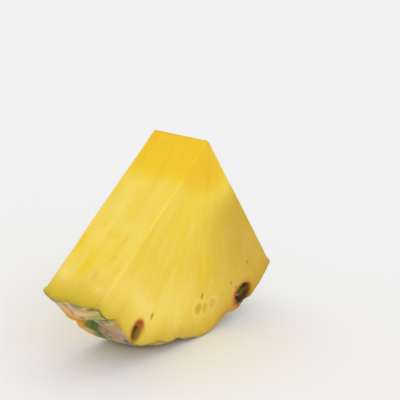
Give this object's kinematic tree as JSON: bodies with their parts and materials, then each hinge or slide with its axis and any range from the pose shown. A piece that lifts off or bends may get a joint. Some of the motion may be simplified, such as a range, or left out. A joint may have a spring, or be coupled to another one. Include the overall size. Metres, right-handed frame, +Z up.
{
  "type": "pineapple quarter slice",
  "caption": "Quarter of a thick pineapple slice with its rind on, standing on the rind with the core edge up.",
  "frame": {"origin": "on the floor, under the middle of the piece's box", "axes": "+Z up; the fruit's own axis lies along Y with the crown end at -Y; the steeper radial cut faces -X and +Z"},
  "size_m": [0.0848, 0.02, 0.0607],
  "materials": {
    "pineapple_flesh": "moist yellow flesh, with a green and tan rind on the curved side"
  },
  "bodies": {
    "root": {"pineapple_quarter_slice": "pineapple_flesh"}
  },
  "joints": []
}
